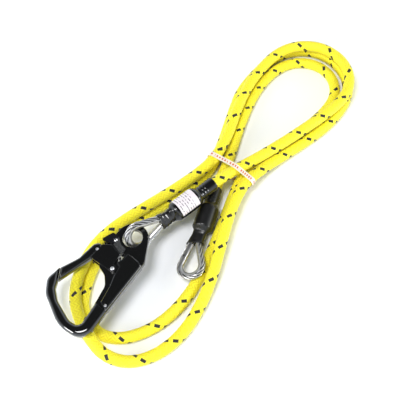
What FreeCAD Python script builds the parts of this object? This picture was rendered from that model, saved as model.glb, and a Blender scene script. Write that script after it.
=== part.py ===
import FreeCAD, Part
import math
import os

from FreeCAD import Placement, Rotation, Vector

# Wire-core positioning lanyard: a braided rope over a wire rope, laid in a flat hank,
# with a thimble eye at each end and a double-locking snap hook on one of them.
# Millimetres, +Z up, origin on the ground under the middle of the part.

os.makedirs("parts", exist_ok=True)
doc = FreeCAD.newDocument("lanyard")

SIZES = [
    # rope and its wire core
    ("rope_diameter", 13.0),
    ("wire_diameter", 6.8),
    ("core_clearance", 0.2),
    # wire eyes and thimbles
    ("wire_spacing", 7.2),
    ("eye_length", 45.6),
    ("eye_radius", 13.0),
    ("thimble_clearance", 0.1),
    ("thimble_wall", 1.1),
    ("thimble_gap", 4.8),
    # swaged sleeves
    ("sleeve_radius", 10.2),
    ("sleeve_length_a", 27.0),
    ("sleeve_length_b", 24.0),
    ("sleeve_start", 27.5),
    ("rope_seat", 14.5),
    # heat-shrink covers
    ("shrink_wall", 1.4),
    ("shrink_clearance", 0.1),
    ("neck_wall", 0.8),
    ("neck_length", 16.9),
    ("shoulder_length", 5.5),
    # label on the first cover
    ("label_thickness", 0.3),
    ("label_margin", 1.2),
    ("label_bare_end", 1.4),
    ("label_angle", 215.0),
    # band round the waist of the hank
    ("band_width", 6.0),
    ("band_thickness", 0.4),
    ("band_turn", -4.8),
    # hook frame
    ("hook_thickness", 12.0),
    ("web_thickness", 6.8),
    ("rim_radius", 4.6),
    ("ring_radius", 18.0),
    ("ring_hole_radius", 11.0),
    ("ring_play", 5.84),
    ("cover_chamfer", 0.8),
    # gate
    ("gate_thickness", 9.6),
    ("gate_rim_radius", 3.4),
    ("gate_pivot_x", -40.9),
    ("gate_pivot_y", -3.0),
    ("gate_ear_radius", 3.8),
    ("gate_pin_radius", 1.6),
    ("pin_clearance", 0.06),
    ("plate_clearance", 0.3),
    # lock lever
    ("lever_pivot_x", -11.9),
    ("lever_pivot_y", 13.6),
    ("lever_pin_radius", 1.3),
    ("lever_thickness", 1.9),
    # rivets and springs
    ("rivet_head_radius", 2.1),
    ("rivet_head_height", 0.8),
    ("small_rivet_radius", 1.1),
    ("spring_wire_radius", 0.45),
    ("spring_radius", 2.3),
    ("spring_pitch", 1.4),
    ("spring_turns", 2.5),
    ("spring_bore_radius", 3.0),
    ("spring_bore_depth", 5.4),
]

sheet = doc.addObject("Spreadsheet::Sheet", "Sizes")
for row, (alias, value) in enumerate(SIZES, start=1):
    sheet.set("A%d" % row, alias)
    sheet.set("B%d" % row, str(value))
    sheet.setAlias("B%d" % row, alias)
doc.recompute()


def size(alias):
    return float(sheet.get(alias))


# Where the pieces lie
# Points of the rope's middle line, stretch by stretch, from the hook end to the free end.
ROPE_ROUTE = [
    ("out of the first cover", [(-28.4, 0.05, 29.87), (-6, -6.9, 29.4), (19.5, -15, 22.5)]),
    ("right leg, top strand", [(42.5, -25.5, 19.8), (77.5, -41, 18.5), (113.5, -55.5, 18.5), (144.5, -67, 19)]),
    ("far bend, top strand", [(168.5, -74, 19.5), (193.5, -74, 19.5), (215.5, -63, 19.5), (230.5, -43.5, 19.5),
                              (236, -18.5, 19.5), (229.5, 4.5, 19.5), (215.5, 21.5, 19.5), (195.5, 32.5, 19)]),
    ("left leg, top strand", [(163.5, 37.5, 18), (128.5, 37, 17.3), (93.5, 30, 18.3), (57.5, 20, 18.8),
                              (20.5, 15, 21.2)]),
    ("lower leg, top strand", [(-5.5, 20.5, 20.1), (-41.5, 34.5, 19.2), (-75.5, 49.5, 19.3), (-109.5, 64, 19.5),
                               (-140.5, 71, 19.4), (-166.5, 69, 18.3)]),
    ("hook bend, outer strand", [(-189.5, 62, 17.8), (-207.5, 49.5, 18.8), (-220.5, 32.5, 19.5),
                                 (-230.5, 12.5, 18.5), (-236.5, -7.5, 13), (-231.5, -28.5, 7),
                                 (-217.5, -46, 6), (-196.5, -58.5, 6)]),
    ("back from the hook, outer strand", [(-169.5, -65, 6), (-139.5, -64.3, 7), (-111.5, -60, 11.5),
                                          (-84.5, -52.5, 15.5), (-51.5, -41.8, 18), (-18.5, -33.5, 18.8),
                                          (10.5, -31.3, 18.6)]),
    ("right leg, outer strand", [(38.5, -37, 13), (70.5, -47.5, 6.8), (103.5, -61.5, 6), (134.5, -72, 6)]),
    ("far bend, lower strand", [(161.5, -76.5, 6), (186.5, -76, 6), (209.5, -67, 6), (226.5, -49.5, 6),
                                (236.5, -25.5, 6), (235, -0.5, 6), (222.5, 20.5, 6), (200.5, 36.5, 6)]),
    ("left leg, outer strand", [(164.5, 44, 6), (128.5, 45.5, 6), (93.5, 36.2, 6), (57.5, 26, 6), (20.5, 17, 7.5)]),
    ("lower leg, lower strand", [(-5.5, 18.5, 6.4), (-41.5, 31.5, 6), (-75.5, 47, 6), (-109.5, 62, 6),
                                 (-140.5, 67, 6), (-166.5, 61, 6)]),
    ("hook bend, inner strand", [(-187.5, 54.5, 6), (-205.5, 44.5, 6), (-217, 27.5, 6), (-220.5, 7.5, 6),
                                 (-213.5, -10.5, 6), (-199.5, -25, 6), (-182.5, -36, 6)]),
    ("back from the hook, inner strand", [(-158.5, -44, 6), (-129.5, -47, 6), (-99.5, -44.5, 6), (-67.5, -38.5, 6),
                                          (-35.5, -32, 6), (-8, -25.5, 6.2), (13.5, -22, 7.6)]),
    ("right leg, inner strand", [(33.5, -21, 6.9), (62.5, -29, 6), (96.5, -43.5, 6), (129.5, -55.5, 6),
                                 (156.5, -61.5, 6)]),
    ("far bend, inner strand", [(177.5, -62, 6), (195, -56, 6), (208.5, -44, 6), (215.5, -28.5, 6),
                                (216, -11.5, 6), (209.5, 4.5, 6), (197.5, 17, 6)]),
    ("left leg, inner strand", [(176.5, 26.5, 6), (142.5, 29.5, 6), (108.5, 24.5, 6), (75.5, 17, 6), (42.5, 7.5, 6.5),
                                (17.5, 0.5, 8)]),
    ("into the second cover", [(-3.2, -2, 12.2), (-25.5, -8.2, 12.2)]),
]

# Each end: the value that holds its sleeve's length, how far the eye's start lies beside the
# cover's axis, the eye's direction, and the side that the eye's first leg turns to.
END_A = {
    "sleeve": "sleeve_length_a",
    "beside": (1.11, 0.85),
    "eye": Vector(-0.929, 0.3705, 0.045),
    "side": Vector(0.2125, 0.5329, 0.8192),
}
END_B = {
    "sleeve": "sleeve_length_b",
    "beside": (1.98, -1.1),
    "eye": Vector(-0.912, -0.41, 0.085),
    "side": Vector(-0.395, 0.886, -0.242),
}
HOOK_BESIDE = (-0.36, 0.56)
BAND_CENTRE = Vector(15.3, 0.0, 0.0)


# Geometry helpers
def tangent_path(points):
    """Straight runs joined by tangent arcs; also returns the arcs' radii."""
    points = [Vector(p) for p in points]
    edges = []
    radii = []
    last = points[0]
    for before, corner, after in zip(points, points[1:], points[2:]):
        arriving = (corner - before).normalize()
        leaving = (after - corner).normalize()
        turn = arriving.getAngle(leaving)
        if turn < 1e-4:
            continue
        cut = 0.45 * min((corner - before).Length, (after - corner).Length)
        radius = cut / math.tan(turn / 2)
        inward = (leaving - arriving * arriving.dot(leaving)).normalize()
        start = corner - arriving * cut
        middle = start + arriving * (radius * math.sin(turn / 2)) + inward * (radius * (1 - math.cos(turn / 2)))
        end = corner + leaving * cut
        edges.append(Part.LineSegment(last, start).toShape())
        edges.append(Part.Arc(start, middle, end).toShape())
        radii.append(radius)
        last = end
    edges.append(Part.LineSegment(last, points[-1]).toShape())
    return Part.Wire(edges), radii


def tube(path, radius):
    """A round tube along a path, compared with its section times its length."""
    first = path.Edges[0]
    start = first.valueAt(first.FirstParameter)
    circle = Part.Wire(Part.makeCircle(radius, start, first.tangentAt(first.FirstParameter)))
    solid = path.makePipeShell([circle], True, False)
    print("tube volume over section times length: %.5f" % (solid.Volume / (math.pi * radius**2 * path.Length)))
    return solid


def rounded_outline(corners):
    """Closed outline of lines and arcs from corners given as x, y and corner radius."""
    count = len(corners)
    spots = [Vector(x, y, 0) for x, y, r in corners]
    pieces = []
    for i, (x, y, radius) in enumerate(corners):
        to_before = (spots[i - 1] - spots[i]).normalize()
        to_after = (spots[(i + 1) % count] - spots[i]).normalize()
        half = to_before.getAngle(to_after) / 2
        reach = radius / math.tan(half)
        bisector = (to_before + to_after).normalize()
        middle = spots[i] + bisector * (radius / math.sin(half) - radius)
        pieces.append((spots[i] + to_before * reach, middle, spots[i] + to_after * reach))
    geometry = []
    for i, (start, middle, end) in enumerate(pieces):
        if (start - end).Length > 1e-6:
            geometry.append(Part.Arc(start, middle, end))
        following = pieces[(i + 1) % count][0]
        if (end - following).Length > 1e-4:
            geometry.append(Part.LineSegment(end, following))
    return geometry


def plain_shape(label, shape, placement=Placement()):
    """A piece whose solid is set by Part's functions."""
    feature = doc.addObject("Part::Feature", label)
    feature.Shape = shape
    feature.Placement = placement
    return feature


def new_body(label, placement):
    body = doc.addObject("PartDesign::Body", label)
    body.Placement = placement
    return body


def flat_sketch(body, name, geometry, height=0.0, role="XY_Plane"):
    sketch = body.newObject("Sketcher::SketchObject", name)
    plane = [feature for feature in body.Origin.OriginFeatures if feature.Role == role][0]
    sketch.AttachmentSupport = [(plane, "")]
    sketch.MapMode = "FlatFace"
    sketch.AttachmentOffset = Placement(Vector(0, 0, height), Rotation())
    for item in geometry:
        sketch.addGeometry(item, False)
    return sketch


def pad(body, sketch, name, thickness):
    feature = body.newObject("PartDesign::Pad", name)
    feature.Profile = sketch
    feature.Midplane = True
    feature.setExpression("Length", thickness)
    doc.recompute()
    return feature


def pocket(body, sketch, name, depth, upward=False):
    """Cuts from the sketch into the solid and makes sure that something was cut."""
    before = body.Shape.Volume
    feature = body.newObject("PartDesign::Pocket", name)
    feature.Profile = sketch
    feature.Reversed = upward
    feature.setExpression("Length", depth)
    doc.recompute()
    if body.Shape.Volume > before - 1e-3:
        raise RuntimeError(name + " cut nothing")
    return feature


def through_cut(body, name, geometry, thickness):
    """A cut right through a plate that lies about the body's middle plane."""
    sketch = flat_sketch(body, name + "_outline", geometry)
    before = body.Shape.Volume
    feature = body.newObject("PartDesign::Pocket", name)
    feature.Profile = sketch
    feature.Midplane = True
    feature.setExpression("Length", thickness)
    doc.recompute()
    if body.Shape.Volume > before - 1e-3:
        raise RuntimeError(name + " cut nothing")
    return feature


def flat_edges(shape, heights):
    """Names of the edges that lie in the planes at the given heights."""
    names = []
    for number, edge in enumerate(shape.Edges, start=1):
        for height in heights:
            if abs(edge.BoundBox.ZMin - height) < 1e-4 and abs(edge.BoundBox.ZMax - height) < 1e-4:
                names.append("Edge%d" % number)
    return names


def round_rim(body, base, name, radius, thickness):
    """Rounds the top and bottom rims of a plate that lies about the middle plane."""
    half = size(thickness) / 2
    shape = base.Shape.copy()
    shape.Placement = Placement()
    feature = body.newObject("PartDesign::Fillet", name)
    feature.Base = (base, flat_edges(shape, (half, -half)))
    feature.setExpression("Radius", "Sizes." + radius)
    doc.recompute()
    return feature


def circle(x, y, radius):
    return Part.Circle(Vector(x, y, 0), Vector(0, 0, 1), radius)


def frame_placement(origin, along, side):
    """A placement whose local +X runs along the piece and whose local +Y points to the side."""
    x_axis = Vector(along).normalize()
    z_axis = x_axis.cross(side).normalize()
    y_axis = z_axis.cross(x_axis)
    return Placement(origin, Rotation(x_axis, y_axis, z_axis, "XYZ"))


def set_mouth(end, rope_end, rope_inner):
    """The cover lies straight on from the rope, whose end it holds."""
    end["along"] = (rope_end - rope_inner).normalize()
    end["mouth"] = rope_end - end["along"] * size("rope_seat")


def cover_frame(end):
    return frame_placement(end["mouth"], end["along"], end["side"])


def sleeve_end(end):
    return size("sleeve_start") + size(end["sleeve"])


def bend_start(end):
    """Where the cover narrows to the neck and the legs leave the cover's axis."""
    return sleeve_end(end) + size("shoulder_length")


def eye_frame(end):
    """At the end of the neck, along the eye."""
    start = cover_frame(end).multVec(Vector(bend_start(end) + size("neck_length"), *end["beside"]))
    return frame_placement(start, end["eye"], end["side"])


# Wire rope: the rope's core, turned back at both ends into an eye
def eye_turn():
    """Angle between an eye's straight leg and its long axis."""
    reach = size("eye_length") - size("eye_radius")
    half = size("wire_spacing") / 2
    return math.asin(size("eye_radius") / math.hypot(reach, half)) - math.atan2(half, reach)


def eye_points():
    """Local points of one eye, from the near leg's parting point round the crown and back."""
    half = size("wire_spacing") / 2
    radius = size("eye_radius")
    parting = -size("thimble_gap")
    centre = parting + size("eye_length") - radius
    first = math.pi / 2 + eye_turn()
    count = 6
    step = 2 * first / count
    points = [(parting, half)]
    for i in range(count):
        angle = first - (i + 0.5) * step
        reach = radius / math.cos(step / 2)
        points.append((centre + reach * math.cos(angle), reach * math.sin(angle)))
    points.append((parting, -half))
    return points


def end_wire_points(end, live_side):
    """The turned wire of one end, from its cut end in the sleeve to where it meets the rope."""
    half = size("wire_spacing") / 2
    cover = cover_frame(end)
    eye = eye_frame(end)
    points = [cover.multVec(Vector(size("sleeve_start") + 1, -live_side * half, 0))]
    points.append(cover.multVec(Vector(bend_start(end) - 1, -live_side * half, 0)))
    for x, y in eye_points():
        points.append(eye.multVec(Vector(x, -live_side * y, 0)))
    points.append(cover.multVec(Vector(bend_start(end) - 1, live_side * half, 0)))
    points.append(cover.multVec(Vector(size("sleeve_start") - 5.5, live_side * half, 0)))
    points.append(cover.multVec(Vector(size("rope_seat") + 1.5, 0, 0)))
    return points


rope_points = [Vector(*point) for stretch, points in ROPE_ROUTE for point in points]
set_mouth(END_A, rope_points[0], rope_points[1])
set_mouth(END_B, rope_points[-1], rope_points[-2])
wire_points = end_wire_points(END_A, 1)
wire_points += rope_points[1:-1]
wire_points += list(reversed(end_wire_points(END_B, -1)))

rope_path, rope_radii = tangent_path(rope_points)
wire_path, wire_radii = tangent_path(wire_points)
print("rope length %.0f, bend radii: %s" % (rope_path.Length, ", ".join("%.0f" % r for r in rope_radii)))
print("wire length %.0f, least bend radius %.1f" % (wire_path.Length, min(wire_radii)))


def least_gap(path, diameter, step=3.0, skip=45.0):
    """Least gap of a tube to itself, measured on points along its middle line."""
    spots = path.discretize(Distance=step)
    apart = int(skip / step)
    least = math.inf
    for i, spot in enumerate(spots):
        for other in spots[i + apart:]:
            least = min(least, spot.distanceToPoint(other))
    return least - diameter


print("rope's least gap to itself %.2f" % least_gap(rope_path, size("rope_diameter")))

wire_core = plain_shape("wire_core", tube(wire_path, size("wire_diameter") / 2))

# Braided rope over the core, flat where it lies on the ground
rope_solid = tube(rope_path, size("rope_diameter") / 2)
reach = rope_solid.BoundBox
ground = Part.makeBox(reach.XLength + 40, reach.YLength + 40, 20, Vector(reach.XMin - 20, reach.YMin - 20, -20))
bore = tube(rope_path, size("wire_diameter") / 2 + size("core_clearance"))
rope_sheath = plain_shape("rope_sheath", max(rope_solid.cut(ground).cut(bore).Solids, key=lambda s: s.Volume))


# Thimbles: channels that follow the inner side of each wire eye
def thimble_shape():
    """A channel round the wire's inner half, along one eye, in that eye's frame."""
    radius = size("eye_radius")
    inner = size("wire_diameter") / 2 + size("thimble_clearance")
    outer = inner + size("thimble_wall")
    turn = eye_turn()
    centre = size("eye_length") - radius
    leg_start = outer + 0.6
    foot = Vector(centre - radius * math.sin(turn), radius * math.cos(turn), 0)
    slope = math.tan(turn)
    x_start = foot.x - (foot.y - leg_start) / slope
    start = Vector(x_start, leg_start, 0)
    crown = Vector(centre + radius, 0, 0)
    other_foot = Vector(foot.x, -foot.y, 0)
    other_start = Vector(start.x, -start.y, 0)
    path = Part.Wire([Part.LineSegment(start, foot).toShape(), Part.Arc(foot, crown, other_foot).toShape(),
                      Part.LineSegment(other_foot, other_start).toShape()])
    inward = Vector(math.sin(turn), -math.cos(turn), 0)
    up = Vector(0, 0, 1)
    rim = [Part.LineSegment(start + up * inner, start + up * outer).toShape(),
           Part.Arc(start + up * outer, start + inward * outer, start - up * outer).toShape(),
           Part.LineSegment(start - up * outer, start - up * inner).toShape(),
           Part.Arc(start - up * inner, start + inward * inner, start + up * inner).toShape()]
    return path.makePipeShell([Part.Wire(rim)], True, False)


def thimble(label, end):
    place = eye_frame(end)
    start = place.multVec(Vector(-size("thimble_gap"), 0, 0))
    return plain_shape(label, thimble_shape(), Placement(start, place.Rotation))


thimble_a = thimble("thimble_a", END_A)
thimble_b = thimble("thimble_b", END_B)


# Swaged sleeves that clamp the two legs of the wire
def sleeve(label, end):
    length = size(end["sleeve"])
    radius = size("sleeve_radius")
    wire = size("wire_diameter") / 2 + size("thimble_clearance")
    half = size("wire_spacing") / 2
    start = Vector(size("sleeve_start"), 0, 0)
    along = Vector(1, 0, 0)
    solid = Part.makeCylinder(radius, length, start, along)
    for side in (1, -1):
        solid = solid.cut(Part.makeCylinder(wire, length + 2, start + Vector(-1, side * half, 0), along))
    return plain_shape(label, solid, cover_frame(end))


swage_sleeve_a = sleeve("swage_sleeve_a", END_A)
swage_sleeve_b = sleeve("swage_sleeve_b", END_B)


# Heat-shrink covers over rope end, sleeve and wire neck
def turned(profile):
    """A solid of revolution about local X from x, radius pairs."""
    spots = [Vector(profile[0][0], 0, 0)] + [Vector(x, r, 0) for x, r in profile] + [Vector(profile[-1][0], 0, 0)]
    face = Part.Face(Part.makePolygon(spots + spots[:1]))
    return face.revolve(Vector(0, 0, 0), Vector(1, 0, 0), 360)


def stadium(x, half, radius):
    """A round-ended slot outline in the plane square to local X."""
    up = Vector(0, 0, 1)
    left = Vector(x, half, 0)
    right = Vector(x, -half, 0)
    out = Vector(0, radius, 0)
    return Part.Wire([Part.LineSegment(right + up * radius, left + up * radius).toShape(),
                      Part.Arc(left + up * radius, left + out, left - up * radius).toShape(),
                      Part.LineSegment(left - up * radius, right - up * radius).toShape(),
                      Part.Arc(right - up * radius, right - out, right + up * radius).toShape()])


def neck_solid(end, start, finish, half_start, half_end, radius):
    """From a slot in the cover's frame, at start, to one in the eye's, at finish."""
    first = stadium(start, half_start, radius)
    last = stadium(finish, half_end, radius)
    last.Placement = cover_frame(end).inverse().multiply(eye_frame(end))
    return Part.makeLoft([first, last], True, True)


def heat_shrink(label, end):
    wall = size("shrink_wall")
    rope = size("rope_diameter") / 2 + size("shrink_clearance")
    body = size("sleeve_radius") + size("shrink_clearance")
    first = size("sleeve_start") - 0.5
    last = sleeve_end(end) + 0.5
    bend = bend_start(end)
    half = size("wire_spacing") / 2
    wire = size("wire_diameter") / 2 + size("thimble_clearance")
    shoulder = half + wire + size("neck_wall")
    flare = half + size("thimble_gap") * math.tan(eye_turn())
    outer = turned([(0, rope + wall), (first - 7, rope + wall), (first, body + wall), (last, body + wall),
                    (bend + 1, shoulder + 0.4)])
    inner = turned([(-1, rope), (first - 6, rope), (first, body), (last, body), (bend - 0.5, shoulder - 0.8)])
    neck = neck_solid(end, bend - 2, 0, half, flare, wire + size("neck_wall"))
    neck_bore = neck_solid(end, bend - 4, 1, half + 0.2, flare + 0.5, wire + 0.1)
    return plain_shape(label, outer.fuse(neck).cut(inner.fuse(neck_bore)), cover_frame(end))


heat_shrink_a = heat_shrink("heat_shrink_a", END_A)
heat_shrink_b = heat_shrink("heat_shrink_b", END_B)


# Label wrapped round the first cover, open on the underside
def wrapped_label():
    inner = size("sleeve_radius") + size("shrink_clearance") + size("shrink_wall")
    start = Vector(size("sleeve_start") + size("label_margin"), 0, 0)
    length = size("sleeve_length_a") - size("label_margin") - size("label_bare_end")
    along = Vector(1, 0, 0)
    outside = Part.makeCylinder(inner + size("label_thickness"), length, start, along, size("label_angle"))
    return outside.cut(Part.makeCylinder(inner, length, start, along))


label_turn = Rotation(Vector(1, 0, 0), 160)
id_label = plain_shape("id_label", wrapped_label(),
                       Placement(END_A["mouth"], cover_frame(END_A).Rotation.multiply(label_turn)))

# Band round the waist of the hank
BAND_CORNERS = [(26.6, 0.5, 6.7), (23.3, 27.5, 6.9), (-14.1, 32.0, 6.9), (-45.9, 21.2, 6.9), (-26.4, 0.5, 6.7)]


def band_outline(grow):
    """The band's inner outline, or its outer one when grown by the thickness."""
    wire = Part.Wire([item.toShape() for item in rounded_outline(BAND_CORNERS)])
    return wire if grow == 0 else wire.makeOffset2D(grow)


band_ring = Part.Face([band_outline(0), band_outline(size("band_thickness"))], "Part::FaceMakerBullseye")
band_solid = band_ring.extrude(Vector(0, 0, size("band_width")))
band_solid.translate(Vector(0, 0, -size("band_width") / 2))
upright = Rotation(Vector(0, 1, 0), Vector(0, 0, 1), Vector(1, 0, 0), "XYZ")
tie_band = plain_shape("tie_band", band_solid,
                       Placement(BAND_CENTRE, Rotation(Vector(0, 0, 1), size("band_turn")).multiply(upright)))


# Snap hook, drawn about the middle of its eye hole with the nose towards -X
hook_reach = size("eye_length") - size("thimble_gap") - size("ring_play")
HOOK_CENTRE = eye_frame(END_A).multVec(Vector(hook_reach, *HOOK_BESIDE))
HOOK_PLACE = Placement(HOOK_CENTRE, Rotation())
RING_FROM = -64.0
RING_TO = 82.6


def ring_corner():
    """The corner whose rounding is the ring's outer arc."""
    middle = math.radians((RING_FROM + RING_TO) / 2)
    half = math.radians((RING_TO - RING_FROM) / 2)
    reach = size("ring_radius") / math.cos(half)
    return (reach * math.cos(middle), reach * math.sin(middle), size("ring_radius"))


HOOK_CORNERS = [
    (-68.0, 47.2, 0), (-85.0, 51.2, 11), (-99.6, 41.8, 22), (-119.6, 9.0, 40), (-119.4, -24.2, 17),
    (-84.0, -25.0, 60), (-17.2, -27.8, 5), ring_corner(), (-12.5, 19.8, 5),
    (-26.0, 14.6, 4), (-45.0, 13.4, 5), (-50.5, 1.0, 12), (-60.0, -6.8, 12), (-84.0, -9.6, 40),
    (-108.5, -10.6, 6), (-109.4, 2.0, 18), (-98.3, 26.5, 22), (-89.0, 36.8, 6), (-81.2, 40.2, 0),
]
RECESS_CORNERS = [(-84.6, -34.0, 1), (-79.6, -6.0, 1), (-66.0, 8.0, 2), (-62.0, 24.5, 2), (32.0, 24.5, 2),
                  (32.0, -34.0, 2)]
WINDOW_CORNERS = [(-31.5, -3.2, 0.3), (-23.0, 1.2, 1.2), (-19.4, -0.8, 1.0), (-20.4, -4.9, 0.8), (-26.5, -4.9, 2)]

hook_frame = new_body("hook_body", HOOK_PLACE)
frame_sketch = flat_sketch(hook_frame, "frame_outline", rounded_outline(HOOK_CORNERS))
frame_pad = pad(hook_frame, frame_sketch, "frame_plate", "Sizes.hook_thickness")
round_rim(hook_frame, frame_pad, "frame_rim", "rim_radius", "hook_thickness")
for side, height in (("top", 0.5), ("bottom", -0.5)):
    recess_sketch = flat_sketch(hook_frame, "recess_%s_outline" % side, rounded_outline(RECESS_CORNERS))
    recess_sketch.setExpression("AttachmentOffset.Base.z", "%s * Sizes.hook_thickness" % height)
    depth = "(Sizes.hook_thickness - Sizes.web_thickness) / 2"
    pocket(hook_frame, recess_sketch, "recess_" + side, depth, upward=side == "bottom")
through_cut(hook_frame, "eye_hole", [circle(0, 0, size("ring_hole_radius"))], "Sizes.hook_thickness")
through_cut(hook_frame, "gate_pin_hole", [circle(size("gate_pivot_x"), size("gate_pivot_y"), size("gate_pin_radius"))],
            "Sizes.hook_thickness")
through_cut(hook_frame, "lever_pin_hole",
            [circle(size("lever_pivot_x"), size("lever_pivot_y"), size("lever_pin_radius"))], "Sizes.hook_thickness")
SPINE_RIVET = (-77.6, -21.0)
through_cut(hook_frame, "spine_rivet_hole", [circle(*SPINE_RIVET, size("small_rivet_radius"))], "Sizes.hook_thickness")
through_cut(hook_frame, "window", rounded_outline(WINDOW_CORNERS), "Sizes.hook_thickness")
bore_sketch = flat_sketch(hook_frame, "spring_bore_outline",
                          [circle(size("gate_pivot_x"), size("gate_pivot_y"), size("spring_bore_radius"))])
bore_sketch.setExpression("AttachmentOffset.Base.z", "Sizes.web_thickness / 2")
pocket(hook_frame, bore_sketch, "spring_bore", "Sizes.spring_bore_depth")

# Spine covers, one on each face, held by the spine rivet
COVER_CORNERS = [(-18.3, -11.2, 1.0), (-18.2, -7.3, 1.0), (-26.5, -5.9, 4), (-33.4, -2.8, 1.0), (-35.6, -8.0, 1.5),
                 (-45.5, -8.9, 4), (-58.0, -12.2, 8), (-77.5, -14.6, 2), (-82.4, -24.4, 1.5), (-22.2, -27.2, 1.5),
                 (-20.1, -21.6, 2)]


def spine_cover(label, outward):
    thickness = (size("hook_thickness") - size("web_thickness")) / 2
    flip = Rotation() if outward > 0 else Rotation(Vector(1, 0, 0), 180)
    corners = [(x, outward * y, r) for x, y, r in COVER_CORNERS]
    body = new_body(label, Placement(HOOK_CENTRE, flip))
    sketch = flat_sketch(body, label + "_outline", rounded_outline(corners))
    sketch.setExpression("AttachmentOffset.Base.z", "Sizes.web_thickness / 2")
    plate = body.newObject("PartDesign::Pad", label + "_plate")
    plate.Profile = sketch
    plate.setExpression("Length", "(Sizes.hook_thickness - Sizes.web_thickness) / 2")
    doc.recompute()
    shape = plate.Shape.copy()
    shape.Placement = Placement()
    top = size("web_thickness") / 2 + thickness
    bevel = body.newObject("PartDesign::Chamfer", label + "_bevel")
    bevel.Base = (plate, flat_edges(shape, (top,)))
    bevel.setExpression("Size", "Sizes.cover_chamfer")
    doc.recompute()
    hole = flat_sketch(body, label + "_rivet_outline",
                       [circle(SPINE_RIVET[0], outward * SPINE_RIVET[1], size("small_rivet_radius"))])
    hole.setExpression("AttachmentOffset.Base.z", "Sizes.hook_thickness / 2")
    pocket(body, hole, label + "_rivet_hole", "Sizes.hook_thickness")
    return body


spine_cover_top = spine_cover("spine_cover_top", 1)
spine_cover_bottom = spine_cover("spine_cover_bottom", -1)


# Gate: a bar across the mouth with two ears down to its pivot
GATE_BAR_CORNERS = [(-67.7, 46.4, 0), (-81.0, 39.6, 0), (-66.8, 34.3, 12), (-43.0, 25.0, 4), (-27.0, 20.6, 4),
                    (-21.4, 26.4, 4), (-27.5, 32.4, 5), (-49.0, 36.4, 12)]
GATE_STOP = (-31.0, 24.4)


def gate_ear_outline():
    """One ear: a plate from the bar, narrowing to a round end about the pivot."""
    x = size("gate_pivot_x")
    y = size("gate_pivot_y")
    r = size("gate_ear_radius")
    right = x + r + 0.2
    return rounded_outline([(-42.4, 25.2, 0.8), (x - r - 0.2, y - r - 0.2, r - 0.1), (right, y - r - 0.2, r - 0.1),
                            (right, -0.9, 1.2), (-23.6, -0.9, 3.0), (-18.9, 13.6, 4.0), (-23.4, 22.6, 2.0)])


gate_body = new_body("gate", HOOK_PLACE)
gate_sketch = flat_sketch(gate_body, "gate_bar_outline", rounded_outline(GATE_BAR_CORNERS))
gate_bar = pad(gate_body, gate_sketch, "gate_bar", "Sizes.gate_thickness")
round_rim(gate_body, gate_bar, "gate_rim", "gate_rim_radius", "gate_thickness")
for side, upward in (("top", False), ("bottom", True)):
    ear_sketch = flat_sketch(gate_body, "gate_ear_%s_outline" % side, gate_ear_outline())
    ear_base = "Sizes.web_thickness / 2 + Sizes.plate_clearance"
    ear_sketch.setExpression("AttachmentOffset.Base.z", ("-(%s)" if upward else "%s") % ear_base)
    ear = gate_body.newObject("PartDesign::Pad", "gate_ear_" + side)
    ear.Profile = ear_sketch
    ear.Reversed = upward
    ear.setExpression("Length", "(Sizes.hook_thickness - Sizes.web_thickness) / 2 - Sizes.plate_clearance")
    doc.recompute()
through_cut(gate_body, "gate_pivot_hole",
            [circle(size("gate_pivot_x"), size("gate_pivot_y"), size("gate_pin_radius") + size("pin_clearance"))],
            "2 * Sizes.hook_thickness")
through_cut(gate_body, "gate_stop_hole", [circle(*GATE_STOP, size("small_rivet_radius"))], "2 * Sizes.hook_thickness")

# Lock lever: two plates joined by a thumb piece behind the gate's end
LEVER_CORNERS = [(-6.2, 21.2, 2.0), (-18.4, 27.2, 1.2), (-19.9, 23.2, 1.2), (-16.4, 15.6, 4), (-22.0, 0.2, 1.2),
                 (-19.6, -2.6, 1.0), (-15.0, -2.2, 1.2), (-13.8, 5.0, 6), (-6.6, 13.6, 2.5)]
THUMB_CORNERS = [(-11.4, 21.4, 0.5), (-11.2, 23.2, 0.5), (-17.9, 26.4, 0.8), (-18.6, 22.4, 0.8)]
lever_body = new_body("lock_lever", HOOK_PLACE)
thumb_sketch = flat_sketch(lever_body, "thumb_outline", rounded_outline(THUMB_CORNERS))
pad(lever_body, thumb_sketch, "thumb_piece", "Sizes.web_thickness + 2 * Sizes.plate_clearance + Sizes.lever_thickness")
for side, upward in (("top", False), ("bottom", True)):
    plate_sketch = flat_sketch(lever_body, "lever_plate_%s_outline" % side, rounded_outline(LEVER_CORNERS))
    plate_base = "Sizes.web_thickness / 2 + Sizes.plate_clearance"
    plate_sketch.setExpression("AttachmentOffset.Base.z", ("-(%s)" if upward else "%s") % plate_base)
    lever_plate = lever_body.newObject("PartDesign::Pad", "lever_plate_" + side)
    lever_plate.Profile = plate_sketch
    lever_plate.Reversed = upward
    lever_plate.setExpression("Length", "Sizes.lever_thickness")
    doc.recompute()
through_cut(lever_body, "lever_pivot_hole",
            [circle(size("lever_pivot_x"), size("lever_pivot_y"), size("lever_pin_radius") + size("pin_clearance"))],
            "2 * Sizes.hook_thickness")


# Rivets: a shank with a low cone head on top, flush below
def rivet(label, x, y, shank, head, top):
    """A rivet through the hook from its underside to a head above the given height."""
    cylinder = doc.addObject("Part::Cylinder", label + "_shank")
    cylinder.setExpression("Radius", shank)
    cylinder.setExpression("Height", "Sizes.hook_thickness / 2 + %s" % top)
    cylinder.Placement = Placement(Vector(x, y, -size("hook_thickness") / 2), Rotation())
    cone = doc.addObject("Part::Cone", label + "_head")
    cone.setExpression("Radius1", head)
    cone.setExpression("Radius2", "0.62 * %s" % head)
    cone.setExpression("Height", "Sizes.rivet_head_height")
    cone.Placement = Placement(Vector(x, y, 0), Rotation())
    cone.setExpression("Placement.Base.z", top)
    whole = doc.addObject("Part::MultiFuse", label)
    whole.Shapes = [cylinder, cone]
    whole.Placement = HOOK_PLACE
    return whole


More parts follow.
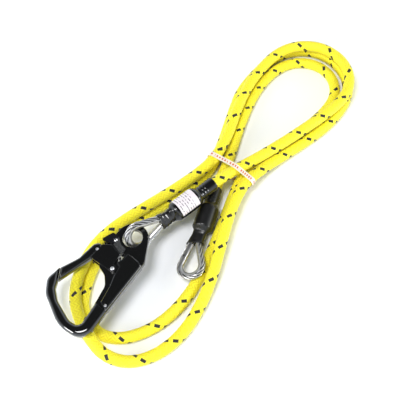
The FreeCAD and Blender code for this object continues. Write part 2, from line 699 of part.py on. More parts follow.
gate_rivet = rivet("gate_pivot_rivet", size("gate_pivot_x"), size("gate_pivot_y"), "Sizes.gate_pin_radius",
                   "Sizes.rivet_head_radius", "Sizes.hook_thickness / 2 + Sizes.pin_clearance")
lever_rivet = rivet("lever_pivot_rivet", size("lever_pivot_x"), size("lever_pivot_y"), "Sizes.lever_pin_radius",
                    "Sizes.rivet_head_radius - 0.3",
                    "Sizes.web_thickness / 2 + Sizes.plate_clearance + Sizes.lever_thickness + Sizes.pin_clearance")
stop_rivet = rivet("gate_stop_rivet", GATE_STOP[0], GATE_STOP[1], "Sizes.small_rivet_radius",
                   "Sizes.small_rivet_radius + 0.6", "Sizes.hook_thickness / 2")
spine_rivet = rivet("spine_rivet", SPINE_RIVET[0], SPINE_RIVET[1], "Sizes.small_rivet_radius",
                    "Sizes.small_rivet_radius + 0.6", "Sizes.hook_thickness / 2")


# Gate spring: a short coil round the pivot, in its bore under the ears
def spring_points():
    count = 8
    points = []
    for i in range(int(size("spring_turns") * count) + 1):
        angle = 2 * math.pi * i / count
        rise = size("spring_pitch") * i / count
        points.append((size("spring_radius") * math.cos(angle), size("spring_radius") * math.sin(angle), rise))
    return points


spring_path, spring_radii = tangent_path(spring_points())
spring_floor = size("web_thickness") / 2 - size("spring_bore_depth") + size("spring_wire_radius") + 0.2
gate_spring = plain_shape("gate_spring", tube(spring_path, size("spring_wire_radius")),
                          Placement(HOOK_CENTRE + Vector(size("gate_pivot_x"), size("gate_pivot_y"), spring_floor),
                                    Rotation()))

# Check every object and write each piece
doc.recompute()
for item in doc.Objects:
    if "Invalid" in item.State or "Error" in item.State:
        raise RuntimeError("%s is in state %s" % (item.Name, item.State))

PIECES = [rope_sheath, wire_core, thimble_a, thimble_b, swage_sleeve_a, swage_sleeve_b, heat_shrink_a, heat_shrink_b,
          id_label, tie_band, hook_frame, spine_cover_top, spine_cover_bottom, gate_body, lever_body, gate_rivet,
          lever_rivet, stop_rivet, spine_rivet, gate_spring]
for piece in PIECES:
    shape = piece.Shape
    if shape.isNull() or not shape.isValid():
        raise RuntimeError(piece.Label + " has no valid shape")
    print("%s: %d solid, volume %.0f, box %s" % (piece.Label, len(shape.Solids), shape.Volume, shape.BoundBox))
    shape.exportStep("parts/%s.step" % piece.Label)
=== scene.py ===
import math

import bpy
from mathutils import Matrix, Quaternion, Vector


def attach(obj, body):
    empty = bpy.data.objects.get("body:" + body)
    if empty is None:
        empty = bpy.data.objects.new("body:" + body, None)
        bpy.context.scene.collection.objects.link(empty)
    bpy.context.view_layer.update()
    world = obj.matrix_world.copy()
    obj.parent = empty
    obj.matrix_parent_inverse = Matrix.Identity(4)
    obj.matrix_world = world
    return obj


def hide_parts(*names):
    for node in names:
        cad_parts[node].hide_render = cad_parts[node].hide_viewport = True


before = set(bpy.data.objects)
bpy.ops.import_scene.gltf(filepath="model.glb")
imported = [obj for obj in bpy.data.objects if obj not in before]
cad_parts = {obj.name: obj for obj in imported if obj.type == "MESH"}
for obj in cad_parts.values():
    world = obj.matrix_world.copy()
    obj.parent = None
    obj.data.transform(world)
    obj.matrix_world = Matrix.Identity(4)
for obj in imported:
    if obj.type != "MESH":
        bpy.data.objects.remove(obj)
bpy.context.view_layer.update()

# Sizes in metres that the pieces here share with the solids
ROPE_DIAMETER = 0.013
WIRE_RADIUS = 0.0034
WIRE_HALF_SPACING = 0.0036
EYE_LENGTH = 0.0456
EYE_RADIUS = 0.013
THIMBLE_GAP = 0.0048
SLEEVE_START = 0.0275
SLEEVE_RADIUS = 0.0102
SHRINK_WALL = 0.0015
NECK_LENGTH = 0.0169
SHOULDER_LENGTH = 0.0055
ROPE_SEAT = 0.0145
LABEL_START = SLEEVE_START + 0.0012
LABEL_LENGTH = 0.0244

# The sheath's braid: carriers each way, the crossings that a carrier floats over, the crossings after
# which the weave repeats, the depth of the grooves, and the length of a repeat with the rings in it
BRAID_CARRIERS = 10
FLOAT_LENGTH = 2
WEAVE_CYCLE = 2 * FLOAT_LENGTH
BRAID_RELIEF = 0.0003
BRAID_REPEAT = 0.0378
RINGS_PER_REPEAT = 32

# Where the black tracer starts, as a part of a turn round the rope and of a repeat along it
TRACER_TURN = 0.025
TRACER_START = 0.775

# The wire: outer strands round a middle one, and the length of one turn of them
WIRE_STRANDS = 6
WIRE_LAY = 0.044

# The covers' skins: points round a ring, distance between rings, radius of the neck and of the hole
# in the lip, how far the skin is turned in at mouth and lip, and its distance from the rope
COVER_AROUND = 72
COVER_STEP = 0.0007
NECK_RADIUS = 0.0043
LIP_HOLE = 0.0036
MOUTH_FOLD = 0.004
LIP_FOLD = 0.005
MOUTH_CLEARANCE = 0.0001

# Points of the rope's middle line, in millimetres, from the hook end to the free end
ROPE_ROUTE = [
    (-28.4, 0.05, 29.87), (-6, -6.9, 29.4), (19.5, -15, 22.5),
    (42.5, -25.5, 19.8), (77.5, -41, 18.5), (113.5, -55.5, 18.5), (144.5, -67, 19),
    (168.5, -74, 19.5), (193.5, -74, 19.5), (215.5, -63, 19.5), (230.5, -43.5, 19.5),
    (236, -18.5, 19.5), (229.5, 4.5, 19.5), (215.5, 21.5, 19.5), (195.5, 32.5, 19),
    (163.5, 37.5, 18), (128.5, 37, 17.3), (93.5, 30, 18.3), (57.5, 20, 18.8), (20.5, 15, 21.2),
    (-5.5, 20.5, 20.1), (-41.5, 34.5, 19.2), (-75.5, 49.5, 19.3), (-109.5, 64, 19.5),
    (-140.5, 71, 19.4), (-166.5, 69, 18.3),
    (-189.5, 62, 17.8), (-207.5, 49.5, 18.8), (-220.5, 32.5, 19.5), (-230.5, 12.5, 18.5),
    (-236.5, -7.5, 13), (-231.5, -28.5, 7), (-217.5, -46, 6), (-196.5, -58.5, 6),
    (-169.5, -65, 6), (-139.5, -64.3, 7), (-111.5, -60, 11.5), (-84.5, -52.5, 15.5),
    (-51.5, -41.8, 18), (-18.5, -33.5, 18.8), (10.5, -31.3, 18.6),
    (38.5, -37, 13), (70.5, -47.5, 6.8), (103.5, -61.5, 6), (134.5, -72, 6),
    (161.5, -76.5, 6), (186.5, -76, 6), (209.5, -67, 6), (226.5, -49.5, 6),
    (236.5, -25.5, 6), (235, -0.5, 6), (222.5, 20.5, 6), (200.5, 36.5, 6),
    (164.5, 44, 6), (128.5, 45.5, 6), (93.5, 36.2, 6), (57.5, 26, 6), (20.5, 17, 7.5),
    (-5.5, 18.5, 6.4), (-41.5, 31.5, 6), (-75.5, 47, 6), (-109.5, 62, 6),
    (-140.5, 67, 6), (-166.5, 61, 6),
    (-187.5, 54.5, 6), (-205.5, 44.5, 6), (-217, 27.5, 6), (-220.5, 7.5, 6),
    (-213.5, -10.5, 6), (-199.5, -25, 6), (-182.5, -36, 6),
    (-158.5, -44, 6), (-129.5, -47, 6), (-99.5, -44.5, 6), (-67.5, -38.5, 6),
    (-35.5, -32, 6), (-8, -25.5, 6.2), (13.5, -22, 7.6),
    (33.5, -21, 6.9), (62.5, -29, 6), (96.5, -43.5, 6), (129.5, -55.5, 6), (156.5, -61.5, 6),
    (177.5, -62, 6), (195, -56, 6), (208.5, -44, 6), (215.5, -28.5, 6),
    (216, -11.5, 6), (209.5, 4.5, 6), (197.5, 17, 6),
    (176.5, 26.5, 6), (142.5, 29.5, 6), (108.5, 24.5, 6), (75.5, 17, 6), (42.5, 7.5, 6.5),
    (17.5, 0.5, 8), (-3.2, -2, 12.2), (-25.5, -8.2, 12.2),
]
ROUTE = [Vector(point) / 1000 for point in ROPE_ROUTE]

# Distance along the rope in millimetres and the count of tracer floats on its upper side by then
TRACER_COUNTS = [(25, 0), (216, 5), (343, 8), (491, 12), (545, 13), (660, 16), (791, 19), (867, 21),
                 (1055, 26), (1282, 32), (1884, 48), (2036, 52), (2455, 63), (2597, 67), (2700, 69.7)]
UPPER_SIDE = Vector((-0.382, -0.2985, 0.8746))


# Shader graphs
class Graph:
    """A material's node tree with short calls for the nodes that the materials here use."""

    INPUTS = {"color": "Base Color", "rough": "Roughness", "metal": "Metallic", "coat": "Coat Weight",
              "coat_rough": "Coat Roughness", "specular": "Specular IOR Level", "sheen": "Sheen Weight",
              "under": "Subsurface Weight"}

    def __init__(self, name):
        self.material = bpy.data.materials.new(name)
        self.material.use_nodes = True
        self.tree = self.material.node_tree
        self.shader = self.tree.nodes["Principled BSDF"]

    def node(self, kind, **settings):
        node = self.tree.nodes.new(kind)
        for key, value in settings.items():
            setattr(node, key, value)
        return node

    def feed(self, socket, value):
        """A link where the value is a socket, and otherwise a constant."""
        if isinstance(value, bpy.types.NodeSocket):
            self.tree.links.new(value, socket)
        else:
            socket.default_value = value

    def math(self, operation, *values):
        node = self.node("ShaderNodeMath", operation=operation)
        for socket, value in zip(node.inputs, values):
            self.feed(socket, value)
        return node.outputs[0]

    def add(self, first, second):
        return self.math("ADD", first, second)

    def subtract(self, first, second):
        return self.math("SUBTRACT", first, second)

    def multiply(self, first, *others):
        for value in others:
            first = self.math("MULTIPLY", first, value)
        return first

    def power(self, value, exponent):
        return self.math("POWER", value, exponent)

    def waves(self, value, length):
        """A sine that repeats over this length of the value."""
        return self.math("SINE", self.multiply(value, 2 * math.pi / length))

    def above(self, value, limit):
        return self.math("GREATER_THAN", value, limit)

    def below(self, value, limit):
        return self.math("LESS_THAN", value, limit)

    def near_zero(self, value, reach):
        return self.below(self.math("ABSOLUTE", value), reach)

    def wrapped(self, value, period):
        """The value less whole periods, between minus half and half a period."""
        shifted = self.math("FLOORED_MODULO", self.add(value, period / 2), period)
        return self.subtract(shifted, period / 2)

    def choose(self, flag, if_set, if_clear):
        node = self.node("ShaderNodeMix", data_type="FLOAT")
        self.feed(node.inputs["Factor"], flag)
        self.feed(node.inputs[2], if_clear)
        self.feed(node.inputs[3], if_set)
        return node.outputs[0]

    def mix(self, factor, first, second):
        """A colour between two, each a socket or its red, green and blue."""
        node = self.node("ShaderNodeMix", data_type="RGBA")
        self.feed(node.inputs["Factor"], factor)
        for socket, color in ((node.inputs[6], first), (node.inputs[7], second)):
            self.feed(socket, (*color, 1) if isinstance(color, tuple) else color)
        return node.outputs[2]

    def parts(self, vector):
        node = self.node("ShaderNodeSeparateXYZ")
        self.feed(node.inputs[0], vector)
        return node.outputs

    def place(self):
        return self.node("ShaderNodeTexCoord").outputs["Object"]

    def lay_and_turn(self):
        """The two parts of a swept tube's map."""
        return self.parts(self.node("ShaderNodeUVMap", uv_map="lay").outputs[0])[:2]

    def noise(self, scale, detail=3.0, roughness=0.5):
        node = self.node("ShaderNodeTexNoise")
        self.feed(node.inputs["Vector"], self.place())
        self.feed(node.inputs["Scale"], scale)
        self.feed(node.inputs["Detail"], detail)
        self.feed(node.inputs["Roughness"], roughness)
        return node.outputs["Fac"]

    def span(self, value, low, high, to_low=0.0, to_high=1.0):
        node = self.node("ShaderNodeMapRange")
        for socket, number in zip(node.inputs, (value, low, high, to_low, to_high)):
            self.feed(socket, number)
        return node.outputs[0]

    def dot(self, vector, direction):
        node = self.node("ShaderNodeVectorMath", operation="DOT_PRODUCT")
        self.feed(node.inputs[0], vector)
        self.feed(node.inputs[1], direction)
        return node.outputs["Value"]

    def bump(self, height, distance, strength):
        node = self.node("ShaderNodeBump")
        self.feed(node.inputs["Strength"], strength)
        self.feed(node.inputs["Distance"], distance)
        self.feed(node.inputs["Height"], height)
        self.feed(self.shader.inputs["Normal"], node.outputs[0])
        return node

    def set(self, **values):
        for key, value in values.items():
            self.feed(self.shader.inputs[self.INPUTS[key]], value)


# Materials
def braid_material():
    """Two-over-two braid of ten carriers each way, one of them black."""
    g = Graph("rope_braid")
    lay, turn = g.lay_and_turn()
    right = g.multiply(g.add(lay, turn), BRAID_CARRIERS)
    left = g.multiply(g.subtract(lay, turn), BRAID_CARRIERS)
    in_right, in_left = g.math("FRACT", right), g.math("FRACT", left)
    crossing = g.add(g.math("FLOOR", right), g.math("FLOOR", left))
    phase = g.math("FLOORED_MODULO", crossing, float(WEAVE_CYCLE))
    first_up = g.below(phase, FLOAT_LENGTH - 0.5)

    # Place across the carrier that lies on top, and along its float
    across = g.choose(first_up, in_left, in_right)
    crossings_along = g.choose(first_up, g.add(phase, in_right),
                               g.add(g.subtract(phase, float(FLOAT_LENGTH)), in_left))
    along = g.multiply(crossings_along, 1 / FLOAT_LENGTH)
    crown, arch = g.waves(across, 2.0), g.waves(along, 2.0)
    yarn_width, yarn_height, end_height = 0.25, 0.05, 0.5
    swell = g.multiply(g.power(crown, 0.6), g.add(g.power(arch, 0.5), end_height))
    height = g.add(swell, g.multiply(g.waves(across, yarn_width), yarn_height))

    # Black where the tracer lies on top
    middle_aside, middle_along = 0.5, 3.5
    half_width, half_length = 0.62, 1.12
    aside = g.wrapped(g.subtract(right, middle_aside), float(BRAID_CARRIERS))
    from_middle = g.wrapped(g.subtract(g.subtract(g.add(left, right), aside), middle_along),
                            float(WEAVE_CYCLE))
    black = g.multiply(g.near_zero(aside, half_width), g.near_zero(from_middle, half_length))

    worn_yellow, bright_yellow = (0.96, 0.84, 0.010), (1.0, 0.93, 0.035)
    groove_shade_yellow, tracer_black = (0.78, 0.60, 0.006), (0.014, 0.013, 0.014)
    wear = g.noise(scale=160.0)
    # Painted shade: the yellow darkens towards the grooves between the carriers
    yarn = g.mix(g.power(crown, 0.5), groove_shade_yellow, g.mix(wear, worn_yellow, bright_yellow))
    g.set(color=g.mix(black, yarn, tracer_black), sheen=0.1,
          rough=g.span(wear, low=0.3, high=0.7, to_low=0.5, to_high=0.7))
    g.bump(height, distance=0.0005, strength=0.7)
    return g.material


def wire_material():
    """Fine wires laid along the strands, with painted shade between the strands."""
    g = Graph("wire_strands")
    lay, turn = g.lay_and_turn()
    fine_width = 0.25
    dull, shiny, valley_shade = (0.50, 0.50, 0.50), (0.74, 0.73, 0.72), (0.03, 0.03, 0.03)
    # The fine wires have a little less twist than their strand
    fine_lay = g.add(g.multiply(lay, WIRE_STRANDS - 1.0), g.multiply(turn, float(WIRE_STRANDS)))
    strand = g.math("FRACT", g.multiply(g.add(lay, turn), float(WIRE_STRANDS)))
    from_crown = g.math("ABSOLUTE", g.subtract(strand, 0.5))
    # Painted shade: the colour goes near black in the valleys between the strands
    valley = g.span(from_crown, low=0.24, high=0.40)
    steel = g.mix(g.noise(scale=120.0), dull, shiny)
    g.set(color=g.mix(valley, steel, valley_shade), metal=1.0, rough=0.30)
    g.bump(g.waves(fine_lay, fine_width), distance=0.00016, strength=0.6)
    return g.material


def steel_material(name, color, rough):
    """Finely scratched steel with darker and duller patches."""
    g = Graph(name)
    darkening, dulling = 0.82, 0.12
    scratches = g.noise(scale=900.0, detail=4.0, roughness=0.7)
    blotch = g.noise(scale=90.0)
    g.set(color=g.mix(blotch, color, tuple(darkening * part for part in color)), metal=1.0,
          rough=g.span(blotch, low=0.3, high=0.7, to_low=rough, to_high=rough + dulling))
    g.bump(scratches, distance=0.00004, strength=0.5)
    return g.material


def black_paint(name, rough, coat, edge=0.0):
    """Black coating; edges of the solids are rounded by the given radius."""
    g = Graph(name)
    black, speck_grey, dulling = (0.004, 0.004, 0.004), (0.016, 0.016, 0.018), 0.04
    wear = g.noise(scale=500.0, detail=5.0, roughness=0.6)
    specks = g.span(wear, low=0.62, high=0.80)
    g.set(color=g.mix(specks, black, speck_grey), coat=coat, coat_rough=0.06, specular=0.5,
          rough=g.span(wear, low=0.2, high=0.8, to_low=rough, to_high=rough + dulling))
    grain = g.bump(g.noise(scale=1400.0, detail=2.0), distance=0.00003, strength=0.4)
    if edge:
        bevel = g.node("ShaderNodeBevel", samples=6)
        g.feed(bevel.inputs["Radius"], edge)
        g.feed(grain.inputs["Normal"], bevel.outputs[0])
        g.feed(g.shader.inputs["Coat Normal"], bevel.outputs[0])
    return g.material


def lever_material():
    """Satin black, with a fine knurl on the arm beside the ring."""
    g = Graph("lever_black")
    arm_end, knurl_pitch = 0.0455, 0.0011
    smooth_black, arm_black = (0.006, 0.006, 0.008), (0.016, 0.016, 0.015)
    x, y = g.parts(g.place())[:2]
    arm = g.below(y, arm_end)
    knurl = g.multiply(g.waves(g.add(x, y), knurl_pitch), g.waves(g.subtract(x, y), knurl_pitch))
    g.set(color=g.mix(arm, smooth_black, arm_black), rough=0.2, specular=0.5)
    g.bump(g.multiply(knurl, arm), distance=0.0003, strength=0.8)
    return g.material


def label_material(end):
    """Pale label with plain ruled lines across the cover's axis."""
    g = Graph("label_print")
    line_pitch, line_limit, gap_limit, ink_strength = 0.0031, 0.55, 0.47, 0.85
    first_margin, last_margin = 0.006, 0.002
    pale, print_dark = (0.76, 0.70, 0.72), (0.10, 0.09, 0.11)
    s = g.subtract(g.dot(g.place(), end["along"]), end["mouth"].dot(end["along"]))
    ruled = g.above(g.waves(s, line_pitch), line_limit)
    unbroken = g.above(g.noise(scale=420.0, detail=1.0), gap_limit)
    inside = g.multiply(g.above(s, LABEL_START + first_margin),
                        g.below(s, LABEL_START + LABEL_LENGTH - last_margin))
    ink = g.multiply(ruled, unbroken, inside, ink_strength)
    g.set(color=g.mix(ink, pale, print_dark), rough=0.35, coat=0.3)
    g.bump(g.noise(scale=300.0), distance=0.00005, strength=0.5)
    return g.material


def band_material():
    """Whitish film with a row of plain red ticks along its middle."""
    g = Graph("band_film")
    row_slope, row_x, row_half_width = 0.084, 0.0183, 0.0013
    tick_pitch, tick_limit, gap_limit, rise_share = 0.0034, -0.1, 0.40, 0.8
    film, red = (0.93, 0.80, 0.70), (0.70, 0.10, 0.06)
    x, y, z = g.parts(g.place())
    around = g.add(y, g.multiply(z, rise_share))
    ticks = g.above(g.waves(around, tick_pitch), tick_limit)
    unbroken = g.above(g.noise(scale=330.0, detail=1.0), gap_limit)
    from_row = g.subtract(g.subtract(x, g.multiply(y, row_slope)), row_x)
    ink = g.multiply(ticks, unbroken, g.near_zero(from_row, row_half_width))
    g.set(color=g.mix(ink, film, red), rough=0.28, coat=0.4, under=0.3)
    g.bump(g.noise(scale=450.0), distance=0.0002, strength=0.6)
    return g.material


def white_floor():
    g = Graph("floor_white")
    g.set(color=(0.925, 0.94, 0.985, 1), rough=0.9, specular=0.1)
    return g.material


# Meshes
def add_mesh(name, vertices, faces, material, uv=None):
    mesh = bpy.data.meshes.new(name)
    mesh.from_pydata(vertices, [], faces)
    mesh.materials.append(material)
    mesh.shade_smooth()
    if uv:
        layer = mesh.uv_layers.new(name="lay")
        for loop, pair in zip(layer.data, uv):
            loop.uv = pair
    piece = bpy.data.objects.new(name, mesh)
    bpy.context.scene.collection.objects.link(piece)
    return piece


def ring_faces(rings, around):
    """Faces between each ring of points and the next."""
    faces = []
    for n in range(rings - 1):
        here, beyond = n * around, (n + 1) * around
        for m in range(around):
            k = (m + 1) % around
            faces.append((here + m, here + k, beyond + k, beyond + m))
    return faces


def spline_points(name, points, resolution):
    """Points along the smooth curve that the route controls."""
    curve = bpy.data.curves.new(name, "CURVE")
    curve.dimensions = "3D"
    spline = curve.splines.new("NURBS")
    spline.points.add(len(points) - 1)
    for control, point in zip(spline.points, points):
        control.co = (*point, 1.0)
    spline.order_u = 3
    spline.use_endpoint_u = True
    spline.resolution_u = resolution
    holder = bpy.data.objects.new(name, curve)
    mesh = bpy.data.meshes.new_from_object(holder)
    found = [vertex.co.copy() for vertex in mesh.vertices]
    bpy.data.objects.remove(holder)
    bpy.data.curves.remove(curve)
    bpy.data.meshes.remove(mesh)
    return found


def even_points(points, step):
    """The same line with points at an even distance of about one step, and that distance."""
    lengths = [0.0]
    for a, b in zip(points, points[1:]):
        lengths.append(lengths[-1] + (b - a).length)
    count = max(2, round(lengths[-1] / step))
    result = []
    k = 0
    for n in range(count + 1):
        s = lengths[-1] * n / count
        while k < len(points) - 2 and lengths[k + 1] < s:
            k += 1
        t = (s - lengths[k]) / (lengths[k + 1] - lengths[k])
        result.append(points[k].lerp(points[k + 1], t))
    return result, lengths[-1] / count


def line_frames(points, up, carried):
    """Centre, side and up along a line. Up is carried on with the least twist, or else it leans to
    the given side at every point."""
    frames = []
    for n, point in enumerate(points):
        ahead = (points[min(n + 1, len(points) - 1)] - points[max(n - 1, 0)]).normalized()
        level = (up - ahead * up.dot(ahead)).normalized()
        frames.append((point, ahead.cross(level), level))
        if carried:
            up = level
    return frames


def swept_tube(name, frames, around, radius, lays, material):
    """A tube whose radius follows radius(lay, turn); its map holds the lay and the turn."""
    vertices = []
    for (centre, side, up), lay in zip(frames, lays):
        for m in range(around):
            angle = 2 * math.pi * m / around
            outward = side * math.cos(angle) + up * math.sin(angle)
            vertices.append(centre + outward * radius(lay, m / around))
    faces = ring_faces(len(frames), around)
    uv = []
    for low, high in zip(lays, lays[1:]):
        for m in range(around):
            turn, next_turn = m / around, (m + 1) / around
            uv += [(low, turn), (low, next_turn), (high, next_turn), (high, turn)]
    last_ring = (len(frames) - 1) * around
    faces.append(tuple(reversed(range(around))))
    faces.append(tuple(range(last_ring, last_ring + around)))
    uv += [(lays[0], 0.0)] * around + [(lays[-1], 0.0)] * around
    return add_mesh(name, vertices, faces, material, uv)


def blend_value(value, stops):
    """Smooth value between given stops of x and y."""
    if value <= stops[0][0]:
        return stops[0][1]
    for (x0, y0), (x1, y1) in zip(stops, stops[1:]):
        if value <= x1:
            t = (value - x0) / (x1 - x0)
            return y0 + (y1 - y0) * t * t * (3 - 2 * t)
    return stops[-1][1]


# Rope
def braid_lay(s):
    """Repeats of the braid up to s; the tracer comes to the upper side once in each."""
    t = s * 1000
    k = 0
    while k < len(TRACER_COUNTS) - 2 and TRACER_COUNTS[k + 1][0] < t:
        k += 1
    (s0, n0), (s1, n1) = TRACER_COUNTS[k], TRACER_COUNTS[k + 1]
    return n0 + (n1 - n0) * (t - s0) / (s1 - s0) + TRACER_START + 1


def braid_radius(lay, turn):
    """The rope's surface with the low relief of its carriers."""
    turn += TRACER_TURN
    right = BRAID_CARRIERS * (lay + turn)
    left = BRAID_CARRIERS * (lay - turn)
    first_up = (math.floor(right) + math.floor(left)) % WEAVE_CYCLE < FLOAT_LENGTH
    across = (left if first_up else right) % 1.0
    return ROPE_DIAMETER / 2 - BRAID_RELIEF * (1 - math.sin(math.pi * across))


def make_rope():
    curve_resolution, around = 24, 40
    line, step = even_points(spline_points("rope_line", ROUTE, curve_resolution),
                             BRAID_REPEAT / RINGS_PER_REPEAT)
    frames = line_frames(line, UPPER_SIDE, carried=False)
    lays = [braid_lay(n * step) for n in range(len(line))]
    rope = swept_tube("rope", frames, around, braid_radius, lays, braid_material())
    for pair in rope.data.uv_layers["lay"].data:
        pair.uv[1] += TRACER_TURN
    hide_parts("rope_sheath")
    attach(rope, "lanyard")


# The two ends of the rope
def rope_end(last, before, sleeve, beside, eye, side):
    """Where the cover starts and points, its sleeve's length, how far the eye's start lies beside the
    cover's axis, the eye's direction, and the side that the eye's first leg turns to."""
    along = (last - before).normalized()
    return {"along": along, "mouth": last - along * ROPE_SEAT, "sleeve": sleeve, "beside": beside,
            "eye": eye, "side": side}


END_A = rope_end(ROUTE[0], ROUTE[1], sleeve=0.027, beside=(0.00111, 0.00085),
                 eye=(-0.929, 0.3705, 0.045), side=(0.2125, 0.5329, 0.8192))
END_B = rope_end(ROUTE[-1], ROUTE[-2], sleeve=0.024, beside=(0.00198, -0.0011),
                 eye=(-0.912, -0.41, 0.085), side=(-0.395, 0.886, -0.242))


# Distances from the cover's mouth
def sleeve_end(end):
    return SLEEVE_START + end["sleeve"]


def bend_start(end):
    return sleeve_end(end) + SHOULDER_LENGTH


def cover_length(end):
    return bend_start(end) + NECK_LENGTH


# Frames of the covers and eyes, as in the solids
def axes(origin, along, side):
    x = Vector(along).normalized()
    z = x.cross(Vector(side)).normalized()
    return Matrix.Translation(origin) @ Matrix((x, z.cross(x), z)).transposed().to_4x4()


def cover_frame(end):
    """At the middle of the cover's mouth, along the cover."""
    return axes(end["mouth"], end["along"], end["side"])


def eye_frame(end):
    """At the end of the neck, along the eye."""
    origin = cover_frame(end) @ Vector((cover_length(end), *end["beside"]))
    return axes(origin, end["eye"], end["side"])


# Wire eyes
def eye_turn():
    """Angle between the eye's middle line and its straight legs."""
    reach = EYE_LENGTH - EYE_RADIUS
    to_tangent = math.asin(EYE_RADIUS / math.hypot(reach, WIRE_HALF_SPACING))
    return to_tangent - math.atan2(WIRE_HALF_SPACING, reach)


def eye_line(end):
    """The wire's middle line: out of the neck, round the crown and back."""
    arc_steps = 48
    place = eye_frame(end)
    centre = EYE_LENGTH - THIMBLE_GAP - EYE_RADIUS
    first = math.pi / 2 + eye_turn()
    arc = []
    for n in range(arc_steps + 1):
        angle = first - 2 * first * n / arc_steps
        x, y = centre + EYE_RADIUS * math.cos(angle), EYE_RADIUS * math.sin(angle)
        arc.append(place @ Vector((x, y, 0)))
    legs = []
    for side in (1, -1):
        parting = place @ Vector((-THIMBLE_GAP, side * WIRE_HALF_SPACING, 0))
        inside = cover_frame(end) @ Vector((bend_start(end), side * WIRE_HALF_SPACING, 0))
        legs.append([inside.lerp(parting, 0.5), parting])
    return legs[0] + arc + list(reversed(legs[1]))


def strand_radius(lay, turn):
    """Outline of six strands laid round a middle one."""
    groove_floor = 0.72 * WIRE_RADIUS
    place = WIRE_STRANDS * (turn + lay)
    offset = (place % 1.0 - 0.5) * 2 * math.pi / WIRE_STRANDS
    strand, ring = WIRE_RADIUS / 3, 2 * WIRE_RADIUS / 3
    inside = max(strand**2 - (ring * math.sin(offset))**2, 0.0)
    return max(ring * math.cos(offset) + math.sqrt(inside), groove_floor)


def make_wire_eye(name, end, material):
    ring_distance, around = 0.0008, 60
    line, step = even_points(eye_line(end), ring_distance)
    frames = line_frames(line, eye_frame(end).to_3x3() @ Vector((0, 0, 1)), carried=True)
    lays = [n * step / WIRE_LAY for n in range(len(line))]
    wire = swept_tube(name, frames, around, strand_radius, lays, material)
    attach(wire, "lanyard")
    return wire


# Heat-shrink covers
def cover_radii(end, lip):
    """Stops of distance and radius from the mouth to the lip, which is wider than the neck by lip."""
    body = SLEEVE_RADIUS + SHRINK_WALL
    mouth = ROPE_DIAMETER / 2 + SHRINK_WALL
    rim_length, rim_height = 0.001, 0.0002
    rise_length, body_excess, lip_length = 0.007, 0.0005, 0.004
    foot_length, foot_height, neck_start = 0.001, 0.0008, 0.005
    bend = bend_start(end)
    return [(0.0, mouth), (rim_length, mouth + rim_height), (SLEEVE_START - rise_length, mouth),
            (SLEEVE_START, body), (sleeve_end(end) + body_excess, body),
            (bend + foot_length, NECK_RADIUS + foot_height), (bend + neck_start, NECK_RADIUS),
            (cover_length(end) - lip_length, NECK_RADIUS), (cover_length(end), NECK_RADIUS + lip)]


def cover_halves(end):
    """Stops of distance and half the distance between the neck's two round sides."""
    foot_length, foot_pinch = 0.001, 0.0003
    flare = WIRE_HALF_SPACING + THIMBLE_GAP * math.tan(eye_turn())
    return [(sleeve_end(end), 0.0), (bend_start(end) + foot_length, WIRE_HALF_SPACING - foot_pinch),
            (cover_length(end), flare)]


def collar_share(s):
    """One along the collar over the rope, falling to zero beyond it."""
    return blend_value(s, [(0.010, 0.0), (0.013, 1.0), (0.020, 1.0), (0.026, 0.0)])


def wrinkle_a(s, angle):
    """Ripples round the neck and the collar, and folds along the neck."""
    neck = blend_value(s, [(0.056, 0.0), (0.062, 1.0)])
    ripple = 0.00025 * math.sin(s * 1500 + 1.6 * math.sin(2 * angle))
    fold = 0.00022 * math.sin(4 * angle + s * 330)
    collar_ripple = 0.00022 * math.sin(s * 1700 + 2.1 * math.sin(angle))
    return ripple * neck + fold * neck + collar_ripple * collar_share(s)


def wrinkle_b(s, angle):
    """Low folds along the neck and low ripples round the collar."""
    neck = blend_value(s, [(0.052, 0.0), (0.060, 1.0)])
    fold = 0.00014 * math.sin(3 * angle + s * 180)
    collar_ripple = 0.00012 * math.sin(s * 1500)
    return fold * neck + collar_ripple * collar_share(s)


def no_wrinkle(s, angle):
    return 0.0


def cover_ring(end, s, radius, half, wrinkle):
    """One ring of a cover at s, round on the rope and slot-shaped over the wires."""
    bend_lead, side_flatness = 0.002, 1.6
    last = cover_length(end)
    start = bend_start(end) - bend_lead
    straight, turned = cover_frame(end), eye_frame(end)
    t = min(max((s - start) / (last - start), 0.0), 1.0)
    ring = []
    for n in range(COVER_AROUND):
        angle = 2 * math.pi * n / COVER_AROUND
        r = radius + wrinkle(s, angle)
        y = r * math.cos(angle) + half * max(-1.0, min(1.0, side_flatness * math.cos(angle)))
        z = r * math.sin(angle)
        ring.append((straight @ Vector((s, y, z))).lerp(turned @ Vector((s - last, y, z)), t))
    return ring


def make_cover(name, end, lip, wrinkle, material, node):
    """Outer skin from the mouth to the lip, turned in at both ends."""
    radii, halves = cover_radii(end, lip), cover_halves(end)
    last = cover_length(end)
    rings = []
    for s in (MOUTH_FOLD, 0.0):
        rings.append(cover_ring(end, s, ROPE_DIAMETER / 2 + MOUTH_CLEARANCE, 0.0, no_wrinkle))
    for s in [n * COVER_STEP for n in range(int(last / COVER_STEP) + 1)] + [last]:
        rings.append(cover_ring(end, s, blend_value(s, radii), blend_value(s, halves), wrinkle))
    for s in (last, last - LIP_FOLD):
        rings.append(cover_ring(end, s, LIP_HOLE, blend_value(s, halves), no_wrinkle))
    vertices = [point for ring in rings for point in ring]
    piece = add_mesh(name, vertices, ring_faces(len(rings), COVER_AROUND), material)
    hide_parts(node)
    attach(piece, "lanyard")


# Solids that keep their shape
def keep_nodes(material, *nodes):
    """Each of these solids takes this material."""
    for node in nodes:
        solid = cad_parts[node]
        solid.data.materials.clear()
        solid.data.materials.append(material)


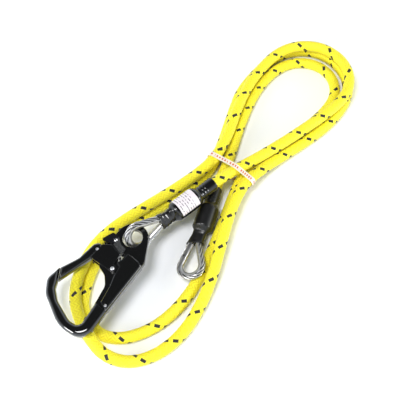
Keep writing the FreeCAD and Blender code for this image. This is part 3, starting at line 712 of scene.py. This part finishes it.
# Camera, floor, lamps and world
def place_camera():
    """Camera at the photograph's angle."""
    azimuth, elevation, roll = math.radians(-52.0), math.radians(61.0), math.radians(-6.4)
    distance = 0.735
    target = Vector((-0.0275, 0.0075, 0.0))
    sensor_width, lens_in_widths = 36.0, 625.0 / 400.0
    back = Vector((math.sin(azimuth) * math.cos(elevation), -math.cos(azimuth) * math.cos(elevation),
                   math.sin(elevation)))
    data = bpy.data.cameras.new("camera")
    data.sensor_width = sensor_width
    data.lens = sensor_width * lens_in_widths
    camera = bpy.data.objects.new("camera", data)
    bpy.context.scene.collection.objects.link(camera)
    turn = back.to_track_quat("Z", "Y") @ Quaternion((0, 0, 1), roll)
    camera.matrix_world = Matrix.Translation(target + back * distance) @ turn.to_matrix().to_4x4()
    bpy.context.scene.camera = camera


def make_floor():
    size = 3.0
    corners = [Vector((x * size, y * size, 0)) for x, y in ((-1, -1), (1, -1), (1, 1), (-1, 1))]
    floor = add_mesh("floor", corners, [(0, 1, 2, 3)], white_floor())


def make_lamp(name, place, size, power):
    """A round lamp that points at the middle of the floor."""
    data = bpy.data.lights.new(name, "AREA")
    data.shape = "DISK"
    data.size = size
    data.energy = power
    light = bpy.data.objects.new(name, data)
    aim = Vector(place).to_track_quat("Z", "Y")
    light.matrix_world = Matrix.Translation(place) @ aim.to_matrix().to_4x4()
    bpy.context.scene.collection.objects.link(light)


def make_world():
    """Cool light, strong near the horizon and weak overhead."""
    low, high, strong, weak = 0.25, 0.80, 1.5, 0.06
    world = bpy.data.worlds.new("studio")
    world.use_nodes = True
    tree = world.node_tree
    direction = tree.nodes.new("ShaderNodeTexCoord").outputs["Generated"]
    rise = tree.nodes.new("ShaderNodeSeparateXYZ")
    level = tree.nodes.new("ShaderNodeMapRange")
    background = tree.nodes["Background"]
    tree.links.new(direction, rise.inputs[0])
    tree.links.new(rise.outputs[2], level.inputs[0])
    for socket, number in zip(level.inputs[1:5], (low, high, strong, weak)):
        socket.default_value = number
    background.inputs[0].default_value = (0.88, 0.94, 1.0, 1)
    tree.links.new(level.outputs[0], background.inputs[1])
    bpy.context.scene.world = world


# Making of the pieces
make_rope()
wires = wire_material()
wire_eye_a = make_wire_eye("wire_eye_a", END_A, wires)
make_wire_eye("wire_eye_b", END_B, wires)
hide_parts("wire_core")
make_cover("cover_a", END_A, 0.0, wrinkle_a, black_paint("shrink_gloss", 0.16, 0.25),
           "heat_shrink_a")
make_cover("cover_b", END_B, 0.0006, wrinkle_b, black_paint("shrink_matte", 0.34, 0.1),
           "heat_shrink_b")

keep_nodes(black_paint("hook_black", 0.05, 1.0, edge=0.0007),
           "hook_body", "spine_cover_top", "spine_cover_bottom", "gate")
keep_nodes(lever_material(), "lock_lever")
keep_nodes(steel_material("bright_steel", (0.78, 0.78, 0.80), 0.22),
           "gate_pivot_rivet", "lever_pivot_rivet", "gate_stop_rivet", "spine_rivet", "gate_spring")
keep_nodes(steel_material("thimble_steel", (0.60, 0.59, 0.57), 0.24),
           "thimble_a", "thimble_b", "swage_sleeve_a", "swage_sleeve_b")
keep_nodes(label_material(END_A), "id_label")
keep_nodes(band_material(), "tie_band")

place_camera()
make_floor()
make_lamp("key_lamp", (-0.55, 0.1, 1.7), size=0.7, power=22.0)
make_lamp("fill_lamp", (-1.57, 0.54, 0.68), size=0.5, power=12.0)
make_lamp("rim_lamp", (0.68, -1.54, 0.51), size=0.5, power=12.0)
make_world()
bpy.context.scene.view_settings.view_transform = "Standard"
